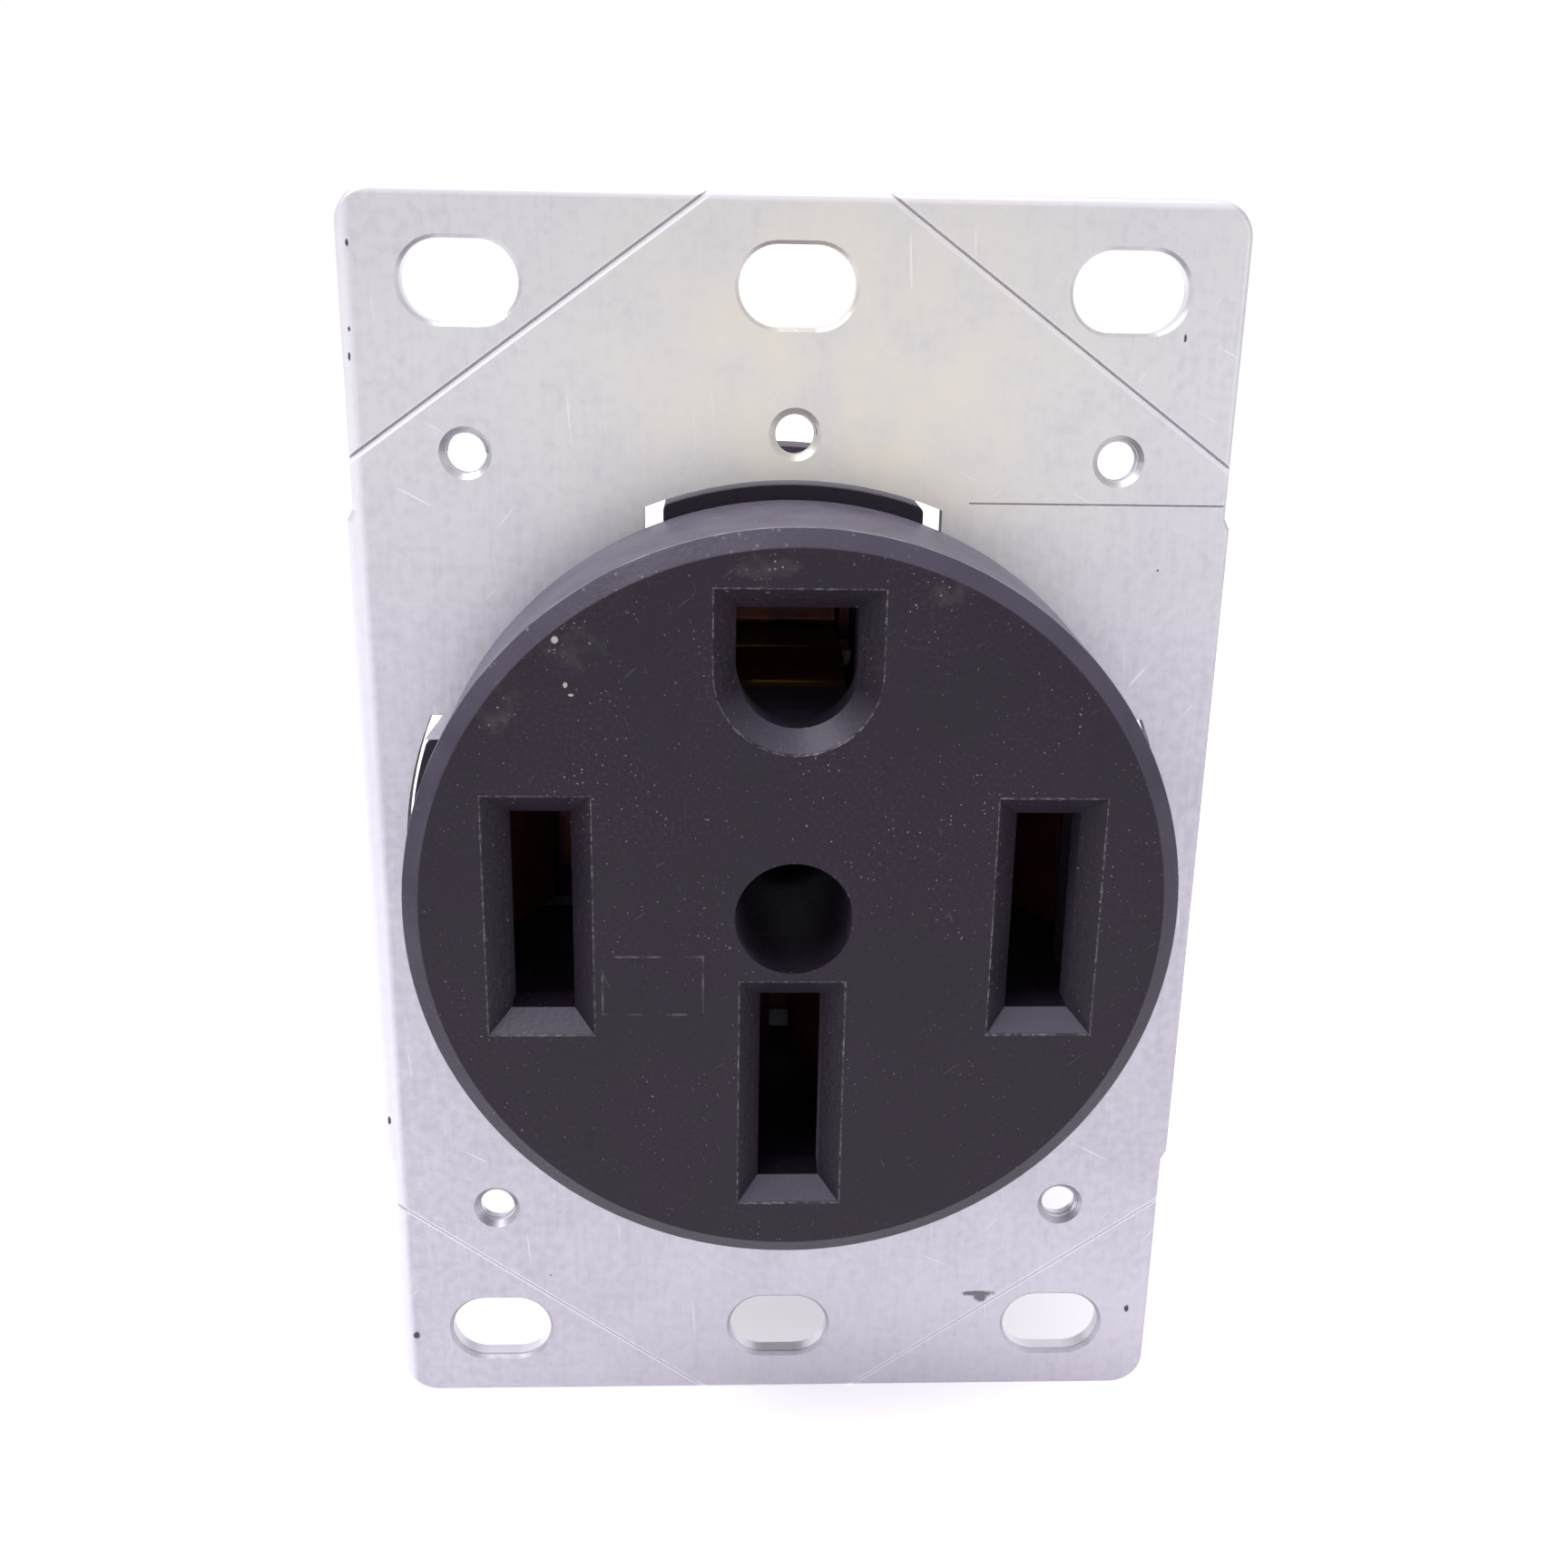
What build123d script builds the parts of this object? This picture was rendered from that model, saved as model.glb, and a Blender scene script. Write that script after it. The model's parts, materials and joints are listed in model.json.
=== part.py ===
from build123d import *
from math import hypot, sqrt
import os

# Flush mount receptacle, 50 A, four wire, straight blade, in millimetres.
# The face looks along -Y, +Z is up, +X is to the right of someone facing it.
# The origin is on the axis of the face, in the front plane of the mounting strap,
# so that negative Y is in front of the wall and positive Y is inside the box.

# Mounting strap: stamped steel plate
strap_end_margin = 6.13
strap_side_web = 2.95
strap_end_step = 0.4
strap_waist_height = 50.8
strap_waist_ramp = 0.75
strap_thickness = 1.5
strap_corner_radius = 2.6
strap_rolled_edge = 0.45

# Slots for the box screws and tapped holes for the wall plate screws
gang_spacing = 46.02
box_screw_height = 83.34
box_slot_length = 8.1
box_slot_width = 5.5
box_slot_rolled_edge = 0.25
plate_hole_height = 60.33
plate_hole_centre_height = 63.5
plate_hole_radius = 1.45
plate_hole_rolled_edge = 0.4

# Break-off score lines and the gauge line for stripping wire
score_drop = 18.1
score_start = 6.1
score_width = 0.44
score_depth = 0.25
gauge_line_height = 27.1
gauge_line_length = 19.05
gauge_line_width = 0.24
gauge_line_depth = 0.12

# Four-lobed opening of the strap and the lobes of the housing in it
lobe_end_gap = 0.35
lobe_width = 18.5
lobe_side_gap = 0.1
upright_window_gap = 1.35
level_window_gap = 1.95
level_window_notch = 0.9
level_window_slant = 1.4

# Front cover
face_radius = 27.0
face_projection = 11.8
face_bevel_radial = 1.25
face_bevel_axial = 0.8
face_draft = 0.2
face_wall = 4.0
skirt_wall = 2.6
well_radius = 4.1
well_tube_wall = 1.1
well_floor = 2.0
chimney_wall = 1.2
chimney_step = 0.5
post_thickness = 3.0
post_width = 8.0
post_margin = 0.4
post_contact_gap = 0.65

# Blade slots of the face
line_spacing = 35.15
blade_slot_width = 4.45
blade_slot_length = 14.7
ground_slot_width = 8.3
ground_slot_height = 8.3
ground_offset = 17.45
slot_funnel = 1.5

# Rear housing
base_radius = 24.0
base_depth = 20.0
housing_back_wall = 2.4
housing_corner_radius = 0.5
housing_edge_chamfer = 0.4
well_clearance = 0.1
well_pocket_wall = 0.45
port_wall = 1.85

# Contacts: brass strip folded to a U, with flared lips
contact_thickness = 1.0
contact_width = 12.0
ground_contact_width = 8.4
contact_bend = 0.6
blade_gap = 1.8
ground_gap = 4.8
heel_gap = 4.8
heel_height = 1.2
heel_slope = 1.0
lip_flare = 2.45
ground_lip_flare = 1.5
lip_length = 5.0
contact_front = 2.0
contact_back = 15.7
contact_clearance = 0.4

# Steel springs that hug the contact leaves
spring_thickness = 0.8
spring_width = 4.0
spring_front = 7.5
spring_hook = 0.5

# Terminal lugs with a wire space, pressure plates and set screws
lug_length = 7.5
lug_width = 12.0
lug_wire_width = 9.0
lug_wire_depth = 7.0
lug_front_wall = 1.7
lug_screw_wall = 3.2
lug_corner_radius = 1.2
lug_clearance = 0.15
tongue_width = 10.4
tongue_end_margin = 2.0
plate_thickness = 1.0
plate_gap = 0.4
plate_side_gap = 0.5
terminal_screw_radius = 2.8
terminal_tip_radius = 1.9
terminal_screw_chamfer = 0.4
terminal_screw_sink = 0.8
terminal_slot_width = 1.2
terminal_slot_depth = 1.5
screw_access_clearance = 0.45
wire_port_funnel = 0.8
rivet_radius = 1.2
rivet_head_radius = 1.75
rivet_head_height = 0.8

# Assembly screws on the diagonals, centre screw and its nut
assembly_offset = 14.8
assembly_boss_radius = 3.0
assembly_screw_radius = 1.7
assembly_head_radius = 3.2
assembly_head_height = 2.0
assembly_head_sink = 1.4
assembly_head_chamfer = 0.7
assembly_grip = 6.0
boss_hole_margin = 0.5
cross_slot_width = 0.9
cross_slot_reach = 1.9
cross_slot_depth = 1.1
screw_hole_clearance = 0.3
centre_screw_radius = 1.9
centre_head_radius = 3.6
centre_head_height = 2.4
centre_head_chamfer = 0.7
centre_slot_width = 1.1
centre_slot_depth = 1.2
centre_screw_end = 0.8
centre_post_depth = 12.6
nut_width = 8.0
nut_height = 3.2
nut_sink = 1.6
nut_clearance = 0.15

# Bonding strip between strap and ground lug
bond_thickness = 0.8
bond_width = 5.0
bond_eye_radius = 3.4
bond_foot = 1.6

# Sizes and depths that follow from the ones above: the lobes hold the lips, posts and lugs
line_offset = line_spacing / 2
line_lip_reach = line_offset + blade_gap / 2 + contact_thickness + lip_flare
ground_lip_reach = ground_offset + ground_gap / 2 + contact_thickness + ground_lip_flare
post_inner = max(line_lip_reach, ground_lip_reach) + post_contact_gap
lug_outer = post_inner + post_thickness + post_margin
lug_inner = lug_outer - lug_length
lug_middle = (lug_inner + lug_outer) / 2
lobe_radius = lug_outer + port_wall
window_radius = lobe_radius + lobe_end_gap
strap_height = box_screw_height + 2 * strap_end_margin
strap_waist_width = 2 * (window_radius + strap_side_web)
strap_end_width = strap_waist_width - 2 * strap_end_step
upright_window_width = lobe_width + 2 * upright_window_gap
level_window_width = lobe_width + 2 * level_window_gap
web_front = contact_back - contact_thickness
tongue_back = contact_back + lug_front_wall
wire_back = tongue_back + lug_wire_depth
lug_back = wire_back + lug_screw_wall
housing_depth = lug_back + housing_back_wall
tube_radius = well_radius + well_tube_wall
blade_half = blade_slot_length / 2 + chimney_step
neutral_offset = tube_radius + well_clearance + well_pocket_wall + blade_half
screw_seat = base_depth - assembly_head_sink
nut_seat = housing_depth - nut_height - nut_sink
ground_spring_half = ground_contact_width / 2 + spring_thickness
ground_pocket_half = ground_spring_half + contact_clearance + bond_thickness

# Directions of the four lobes, as turns about Y from +X
LINE_Y_ANGLE = 0
NEUTRAL_ANGLE = 90
LINE_X_ANGLE = 180
GROUND_ANGLE = -90
ANGLES = [LINE_Y_ANGLE, NEUTRAL_ANGLE, LINE_X_ANGLE, GROUND_ANGLE]


def slab(profile, front, back):
    """Solid with an outline drawn in X and Z, between two depths along Y."""
    return extrude(Plane.XZ.offset(-back) * profile, back - front)


def turned(shape, direction):
    """A shape drawn for the lobe at +X, turned to another lobe."""
    return Rot(0, direction, 0) * shape


def block(x_range, front, back, z_half):
    """Box that is symmetric about the XY plane."""
    x_low, x_high = x_range
    size = Rectangle(x_high - x_low, 2 * z_half)
    return slab(Pos((x_low + x_high) / 2, 0) * size, front, back)


def rod(x, z, radius, front, back):
    """Round bar along Y."""
    return slab(Pos(x, z) * Circle(radius), front, back)


def mirrored_four(x, z):
    return [(sx * x, sz * z) for sx in (-1, 1) for sz in (-1, 1)]


# Outlines

def strap_outline():
    """Plate that is a little wider along its middle, with short ramps."""
    end = strap_end_width / 2
    waist = strap_waist_width / 2
    top = strap_height / 2
    waist_top = strap_waist_height / 2
    ramp_top = waist_top + strap_waist_ramp
    right = [(end, top), (end, ramp_top), (waist, waist_top)]
    right += [(x, -z) for x, z in reversed(right)]
    left = [(-x, z) for x, z in reversed(right)]
    plate = make_face(Polyline(*right, *left, close=True))
    corners = [v for v in plate.vertices() if abs(abs(v.Y) - top) < 0.01]
    return fillet(corners, strap_corner_radius)


def upright_window():
    """Window for the top and bottom lobes: straight sides, round outer end."""
    stripe = Rectangle(upright_window_width, 2 * window_radius)
    return stripe & Circle(window_radius)


def level_window():
    """Window for the side lobes: close to the lobe, opened out by its ends."""
    inner = lobe_width / 2 + lobe_side_gap
    outer = level_window_width / 2
    reach = sqrt(window_radius ** 2 - outer ** 2) - level_window_notch
    root = reach + level_window_slant
    corners = [(0, inner), (root, inner), (reach, outer), (window_radius, outer)]
    corners += [(x, -z) for x, z in reversed(corners)]
    half = make_face(Polyline(*corners, close=True)) & Circle(window_radius)
    return half + mirror(half, Plane.YZ)


def lobes(radius, width):
    """Cross of two stripes with round ends."""
    stripe = Rectangle(2 * radius, width)
    cross = stripe + Rot(0, 0, 90) * stripe
    return cross & Circle(radius)


def ground_slot(grow):
    """Ground slot: flat at the top, a half circle at the bottom."""
    half = ground_slot_width / 2 + grow
    top = ground_slot_height - ground_slot_width / 2 + grow
    box = Pos(0, top / 2) * Rectangle(2 * half, top)
    return Pos(0, ground_offset) * (box + Circle(half))


def blade_slot(grow):
    return Rectangle(blade_slot_width + 2 * grow, blade_slot_length + 2 * grow)


def slot_outlines(grow):
    """The four slots of the face, each grown by the same amount."""
    return [
        Pos(-line_offset, 0) * blade_slot(grow),
        Pos(line_offset, 0) * blade_slot(grow),
        Pos(0, -neutral_offset) * blade_slot(grow),
        ground_slot(grow),
    ]


def cavity_outlines(grow):
    """Room behind each slot, wide enough for the flared contact lips."""
    blade = Rectangle(2 * (blade_gap / 2 + lip_flare), 2 * blade_half)
    ground_length = 2 * (ground_gap / 2 + ground_lip_flare)
    ground = Rectangle(ground_slot_width + 2 * chimney_step, ground_length)
    rooms = [
        Pos(-line_offset, 0) * blade,
        Pos(line_offset, 0) * blade,
        Pos(0, -neutral_offset) * blade,
        Pos(0, ground_offset) * ground,
    ]
    return [offset(room, grow) if grow else room for room in rooms]


# Mounting strap

def groove(start, end, width, depth):
    """Straight V-shaped groove in the front of the strap."""
    (x0, z0), (x1, z1) = start, end
    run = Vector(x1 - x0, 0, z1 - z0)
    section = Plane(origin=(x0, 0, z0), x_dir=run.cross(Vector(0, 1, 0)), z_dir=run)
    notch = make_face(Polyline((-width, -depth), (width, -depth), (0, depth), close=True))
    if (section * Pos(0, depth)).position.Y < 0:
        notch = mirror(notch, Plane.XZ)
    return extrude(section * notch, run.length)


def make_strap():
    outline = strap_outline()
    strap = slab(outline, 0, strap_thickness)
    front_edges = strap.faces().sort_by(Axis.Y)[0].outer_wire().edges()
    strap = fillet(front_edges, strap_rolled_edge)

    slot = SlotOverall(box_slot_length, box_slot_width)
    for x in (-gang_spacing / 2, 0, gang_spacing / 2):
        for z in (-box_screw_height / 2, box_screw_height / 2):
            strap -= slab(Pos(x, z) * slot, 0, strap_thickness)
    slot_mouths = strap.faces().sort_by(Axis.Y)[0].inner_wires()
    strap = chamfer(slot_mouths.edges(), box_slot_rolled_edge)

    holes = mirrored_four(gang_spacing / 2, plate_hole_height / 2)
    holes += [(0, plate_hole_centre_height / 2), (0, -plate_hole_centre_height / 2)]
    for x, z in holes:
        strap -= rod(x, z, plate_hole_radius, 0, strap_thickness)
        mouth_radius = plate_hole_radius + plate_hole_rolled_edge
        mouth = Cone(mouth_radius, plate_hole_radius, plate_hole_rolled_edge)
        strap -= Pos(x, plate_hole_rolled_edge / 2, z) * Rot(-90, 0, 0) * mouth

    strap -= slab(upright_window() + level_window(), 0, strap_thickness)
    for x, z in mirrored_four(assembly_offset, assembly_offset):
        hole_radius = assembly_screw_radius + screw_hole_clearance
        strap -= rod(x, z, hole_radius, 0, strap_thickness)

    top = strap_height / 2
    edge = strap_end_width / 2
    for sx, sz in mirrored_four(1, 1):
        start = (sx * score_start, sz * top)
        end = (sx * edge, sz * (top - score_drop))
        strap -= groove(start, end, score_width / 2, score_depth)
    line_start = (strap_waist_width / 2 - gauge_line_length, gauge_line_height)
    line_end = (strap_waist_width / 2, gauge_line_height)
    strap -= groove(line_start, line_end, gauge_line_width / 2, gauge_line_depth)
    return strap


# Front cover

def make_cover():
    front = -face_projection
    shoulder = front + face_bevel_axial
    inner_front = front + face_wall
    base_edge = face_radius + face_draft
    profile = Polyline(
        (0, front),
        (face_radius - face_bevel_radial, front),
        (face_radius, shoulder),
        (base_edge, 0),
        (base_edge - skirt_wall, 0),
        (face_radius - skirt_wall, inner_front),
        (0, inner_front),
        close=True,
    )
    cover = revolve(make_face(profile), Axis.Y)

    for room in cavity_outlines(chimney_wall):
        cover += slab(room, inner_front, 0)
    for x, z in mirrored_four(assembly_offset, assembly_offset):
        cover += rod(x, z, assembly_boss_radius, inner_front, 0)
    cover += rod(0, 0, tube_radius, inner_front, centre_post_depth)
    for direction in ANGLES:
        cover += turned(make_post(inner_front), direction)

    for room in cavity_outlines(0):
        cover -= slab(room, inner_front, 1)
    for wide, narrow in zip(slot_outlines(slot_funnel), slot_outlines(0)):
        mouth = Plane.XZ.offset(face_projection) * wide
        throat = Plane.XZ.offset(face_projection - slot_funnel) * narrow
        cover -= loft([mouth, throat], ruled=True)
        cover -= slab(narrow, front, inner_front + 1)

    cover -= rod(0, 0, well_radius, front - 1, centre_post_depth - well_floor)
    centre_hole = centre_screw_radius + screw_hole_clearance
    cover -= rod(0, 0, centre_hole, front, centre_post_depth + 1)
    for x, z in mirrored_four(assembly_offset, assembly_offset):
        cover -= rod(x, z, assembly_screw_radius, -assembly_grip - boss_hole_margin, 1)
    return cover


def make_post(front):
    """Post of the cover that holds a lug down in its pocket."""
    return block((post_inner, post_inner + post_thickness), front, contact_back, post_width / 2)


# Rear housing

def leaf_pocket(direction):
    """Outline of the pocket for the leaves of one contact, drawn at +X."""
    if direction == GROUND_ANGLE:
        across = ground_gap / 2 + ground_lip_flare + contact_thickness + contact_clearance
        return Pos(ground_offset, 0) * Rectangle(2 * across, 2 * ground_pocket_half)
    across = blade_gap / 2 + lip_flare + contact_thickness + contact_clearance
    if direction == NEUTRAL_ANGLE:
        return Pos(neutral_offset, 0) * Rectangle(2 * blade_half, 2 * across)
    return Pos(line_offset, 0) * Rectangle(2 * across, 2 * blade_half)


def make_housing():
    bottom = lobes(lobe_radius, lobe_width)
    block_corners = bottom.vertices()
    outer_corners = [v for v in block_corners if Vector(v.X, v.Y).length > base_radius]
    bottom = fillet(outer_corners, housing_corner_radius)
    housing = slab(bottom, 0, housing_depth)
    back_edges = housing.faces().sort_by(Axis.Y)[-1].outer_wire().edges()
    housing = chamfer(back_edges, housing_edge_chamfer)
    housing += slab(Circle(base_radius), strap_thickness, base_depth)

    for direction in ANGLES:
        housing -= turned(make_pocket(direction), direction)
    bore = tube_radius + well_clearance
    housing -= rod(0, 0, bore, -1, centre_post_depth)
    centre_hole = centre_screw_radius + screw_hole_clearance
    housing -= rod(0, 0, centre_hole, 0, housing_depth + 1)
    nut_room = RegularPolygon((nut_width + nut_clearance) / 2, 6, major_radius=False)
    housing -= slab(nut_room, nut_seat, housing_depth + 1)

    hole_radius = assembly_screw_radius + screw_hole_clearance
    head_room = assembly_head_radius + screw_hole_clearance
    for x, z in mirrored_four(assembly_offset, assembly_offset):
        housing -= rod(x, z, hole_radius, 0, base_depth + 1)
        housing -= rod(x, z, head_room, screw_seat, housing_depth + 1)
    housing -= make_bonding_channel()
    return housing


def make_pocket(direction):
    """Room for one contact, its tongue and its lug, with the wire port."""
    pocket = slab(leaf_pocket(direction), -1, contact_back)
    tongue = block((tongue_start(direction) - lug_clearance, lug_inner + 1), -1,
                   tongue_back, tongue_width / 2 + lug_clearance)
    pocket += tongue
    lug_range = (lug_inner - lug_clearance, lug_outer + lug_clearance)
    pocket += block(lug_range, -1, lug_back, lug_width / 2 + lug_clearance)
    pocket += rod(lug_middle, 0, terminal_screw_radius + screw_access_clearance,
                  lug_back - 1, housing_depth + 1)
    pocket += make_port()
    return pocket


def make_port():
    """Wire port in the end wall of a lobe, wider at its mouth."""
    middle = (tongue_back + wire_back) / 2
    size = (lug_wire_depth, lug_wire_width)
    corner = lug_corner_radius
    inner_plane = Plane(origin=(lug_outer, middle, 0), x_dir=(0, 1, 0), z_dir=(1, 0, 0))
    neck = extrude(inner_plane * RectangleRounded(*size, corner), lobe_radius - lug_outer)
    start = inner_plane.offset(lobe_radius - lug_outer - wire_port_funnel)
    end = inner_plane.offset(lobe_radius - lug_outer + wire_port_funnel)
    grow = 2 * wire_port_funnel
    wide = RectangleRounded(size[0] + 2 * grow, size[1] + 2 * grow, corner + grow)
    funnel = loft([start * RectangleRounded(*size, corner), end * wide], ruled=True)
    return neck + funnel


# Contacts, springs, lugs and their screws, all drawn for the lobe at +X

def tongue_start(direction):
    """Inner end of a lug's tongue, under the web of its contact."""
    if direction == NEUTRAL_ANGLE:
        return neutral_offset - contact_width / 2 + tongue_end_margin
    if direction == GROUND_ANGLE:
        return ground_offset - ground_gap / 2 - contact_thickness + tongue_end_margin
    return line_offset - heel_gap / 2 - contact_thickness


def leaf_profile(gap, flare, heel):
    """Folded strip seen along its width: lips in front, a wider heel and the web behind."""
    half = (gap + contact_thickness) / 2
    heel_half = (heel + contact_thickness) / 2
    throat = contact_front + lip_length
    heel_front = web_front - heel_height
    tip = contact_front + contact_thickness / 2 * flare / hypot(flare, lip_length)
    right = [(half + flare, tip), (half, throat)]
    if heel > gap:
        right += [(half, heel_front - heel_slope), (heel_half, heel_front)]
    right += [(heel_half, web_front + contact_thickness / 2)]
    left = [(-x, y) for x, y in reversed(right)]
    path = FilletPolyline(*right, *left, radius=contact_bend + contact_thickness / 2)
    return trace(path, contact_thickness)


def make_contact(direction):
    """U-shaped contact with its flared lips, pierced for its rivet."""
    if direction == GROUND_ANGLE:
        profile = leaf_profile(ground_gap, ground_lip_flare, ground_gap)
        leaf = extrude(profile, ground_contact_width / 2, both=True)
    else:
        profile = leaf_profile(blade_gap, lip_flare, heel_gap)
        leaf = extrude(profile, contact_width / 2, both=True)
    if direction == NEUTRAL_ANGLE:
        leaf = Rot(0, 90, 0) * leaf
    place = rivet_place(direction)
    return Pos(place, 0, 0) * leaf - rod(place, 0, rivet_radius, web_front - 1, contact_back + 1)


def rivet_place(direction):
    if direction == NEUTRAL_ANGLE:
        return neutral_offset
    if direction == GROUND_ANGLE:
        return ground_offset
    return line_offset


def make_spring(direction):
    """C-shaped steel band round both leaves, open on one side."""
    gap = ground_gap if direction == GROUND_ANGLE else blade_gap
    width = ground_contact_width if direction == GROUND_ANGLE else contact_width
    inner_x = gap / 2 + contact_thickness
    inner_z = width / 2
    outer = Rectangle(2 * (inner_x + spring_thickness), 2 * (inner_z + spring_thickness))
    outer = fillet(outer.vertices(), spring_thickness)
    hollow = Rectangle(2 * inner_x, 2 * inner_z)
    open_side = Pos(0, -inner_z) * Rectangle(2 * (inner_x - spring_hook), 2 * inner_z)
    band = slab(outer - hollow - open_side, spring_front, spring_front + spring_width)
    if direction == NEUTRAL_ANGLE:
        band = Rot(0, 90, 0) * band
    return Pos(rivet_place(direction), 0, 0) * band


def make_lug(direction):
    """Box lug with a tongue that runs under the web of the contact."""
    middle = (contact_back + lug_back) / 2
    section = Plane(origin=(lug_inner, middle, 0), x_dir=(0, 1, 0), z_dir=(1, 0, 0))
    outline = RectangleRounded(lug_back - contact_back, lug_width, lug_corner_radius)
    lug = extrude(section * outline, lug_length)
    space_middle = (tongue_back + wire_back) / 2 - middle
    space = RectangleRounded(lug_wire_depth, lug_wire_width, lug_corner_radius)
    lug -= extrude(section * Pos(space_middle, 0) * space, lug_length)
    tongue_range = (tongue_start(direction), lug_inner + lug_corner_radius)
    lug += block(tongue_range, contact_back, tongue_back, tongue_width / 2)
    lug -= rod(rivet_place(direction), 0, rivet_radius, contact_back - 1, tongue_back + 1)
    lug -= rod(lug_middle, 0, terminal_screw_radius, wire_back - 1, lug_back + 1)
    return lug


def make_pressure_plate():
    """Plate under the tip of the set screw, its ends bent down as guides."""
    back = wire_back - plate_gap
    half_width = lug_wire_width / 2 - plate_side_gap
    reach = (lug_inner + plate_side_gap, lug_outer - plate_side_gap)
    plate = block(reach, back - plate_thickness, back, half_width)
    dimple = rod(lug_middle, 0, terminal_tip_radius, back - plate_thickness / 2, back + 1)
    return plate - dimple


def make_terminal_screw():
    """Set screw with a turned tip and a driver slot in its end."""
    tip = wire_back - plate_gap - plate_thickness / 2
    end = housing_depth - terminal_screw_sink
    neck = rod(lug_middle, 0, terminal_tip_radius, tip, wire_back)
    body = rod(lug_middle, 0, terminal_screw_radius, wire_back, end)
    rim = body.faces().sort_by(Axis.Y)[-1].edges()
    body = chamfer(rim, terminal_screw_chamfer)
    slot = Rectangle(2 * terminal_screw_radius + 1, terminal_slot_width)
    cut = slab(Pos(lug_middle, 0) * slot, end - terminal_slot_depth, end + 1)
    return neck + body - cut


def make_rivet(direction):
    """Rivet through web and tongue, headed on the contact side."""
    place = rivet_place(direction)
    shank = rod(place, 0, rivet_radius, web_front, tongue_back)
    head = rod(place, 0, rivet_head_radius, web_front - rivet_head_height, web_front)
    return shank + head


# Assembly screws, centre screw and nut, bonding strip

def make_assembly_screw(x, z):
    """Pan head screw from the back into a boss of the cover."""
    head_back = screw_seat + assembly_head_height
    shank = rod(x, z, assembly_screw_radius, -assembly_grip, screw_seat)
    head = rod(x, z, assembly_head_radius, screw_seat, head_back)
    head = chamfer(head.faces().sort_by(Axis.Y)[-1].edges(), assembly_head_chamfer)
    slot = Rectangle(2 * cross_slot_reach, cross_slot_width)
    cross = slot + Rot(0, 0, 90) * slot
    recess = slab(Pos(x, z) * cross, head_back - cross_slot_depth, head_back + 1)
    return shank + head - recess


def make_centre_screw():
    """Pan head screw in the well, with a nut at the back."""
    seat = centre_post_depth - well_floor
    head_front = seat - centre_head_height
    head = rod(0, 0, centre_head_radius, head_front, seat)
    head = chamfer(head.faces().sort_by(Axis.Y)[0].edges(), centre_head_chamfer)
    slot = Rectangle(2 * centre_head_radius + 1, centre_slot_width)
    head -= slab(slot, head_front - 1, head_front + centre_slot_depth)
    return head + rod(0, 0, centre_screw_radius, seat, nut_seat + nut_height + centre_screw_end)


def make_centre_nut():
    nut = slab(RegularPolygon(nut_width / 2, 6, major_radius=False), nut_seat, nut_seat + nut_height)
    return nut - rod(0, 0, centre_screw_radius, nut_seat - 1, nut_seat + nut_height + 1)


def bond_flat(front, grow):
    """Part of the bonding strip behind the strap, with an eye for a screw."""
    back = strap_thickness + bond_thickness
    inner = ground_pocket_half - bond_thickness
    flat = block((inner - grow, assembly_offset), front, back, bond_width / 2 + grow)
    eye = rod(assembly_offset, 0, bond_eye_radius + grow, front, back)
    return Pos(0, 0, assembly_offset) * (flat + eye)


def make_bonding_channel():
    """Shallow channel for the bonding strip, open to the front."""
    return bond_flat(-1, lug_clearance)


def make_bonding_strip():
    """Strip with an eye behind the strap and a foot on the tongue of the ground lug."""
    outer = ground_pocket_half
    leg = block((outer - bond_thickness, outer), strap_thickness, contact_back, bond_width / 2)
    foot_front = contact_back - bond_thickness
    foot = block((outer - bond_foot, outer), foot_front, contact_back, bond_width / 2)
    strip = bond_flat(strap_thickness, 0) + Pos(0, 0, assembly_offset) * (leg + foot)
    hole = assembly_screw_radius + screw_hole_clearance
    return strip - rod(assembly_offset, assembly_offset, hole, 0, base_depth)


def save(shape, name):
    export_step(shape, f"parts/{name}.step")


os.makedirs("parts", exist_ok=True)

save(make_strap(), "mounting_strap")
save(make_cover(), "front_cover")
save(make_housing(), "rear_housing")

poles = {
    "line_x": LINE_X_ANGLE,
    "line_y": LINE_Y_ANGLE,
    "neutral": NEUTRAL_ANGLE,
    "ground": GROUND_ANGLE,
}
for pole, direction in poles.items():
    save(turned(make_contact(direction), direction), f"{pole}_contact")
    save(turned(make_spring(direction), direction), f"{pole}_spring")
    save(turned(make_lug(direction), direction), f"{pole}_lug")
    save(turned(make_pressure_plate(), direction), f"{pole}_pressure_plate")

line_angles = (LINE_X_ANGLE, LINE_Y_ANGLE)
line_screws = [turned(make_terminal_screw(), direction) for direction in line_angles]
save(Compound(children=line_screws), "line_terminal_screws")
save(turned(make_terminal_screw(), NEUTRAL_ANGLE), "neutral_terminal_screw")
save(turned(make_terminal_screw(), GROUND_ANGLE), "ground_terminal_screw")

rivets = [turned(make_rivet(direction), direction) for direction in ANGLES]
save(Compound(children=rivets), "contact_rivets")
screws = [make_assembly_screw(x, z) for x, z in mirrored_four(assembly_offset, assembly_offset)]
save(Compound(children=screws), "assembly_screws")
save(make_bonding_strip(), "bonding_strip")
save(make_centre_screw(), "centre_screw")
save(make_centre_nut(), "centre_nut")
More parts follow.
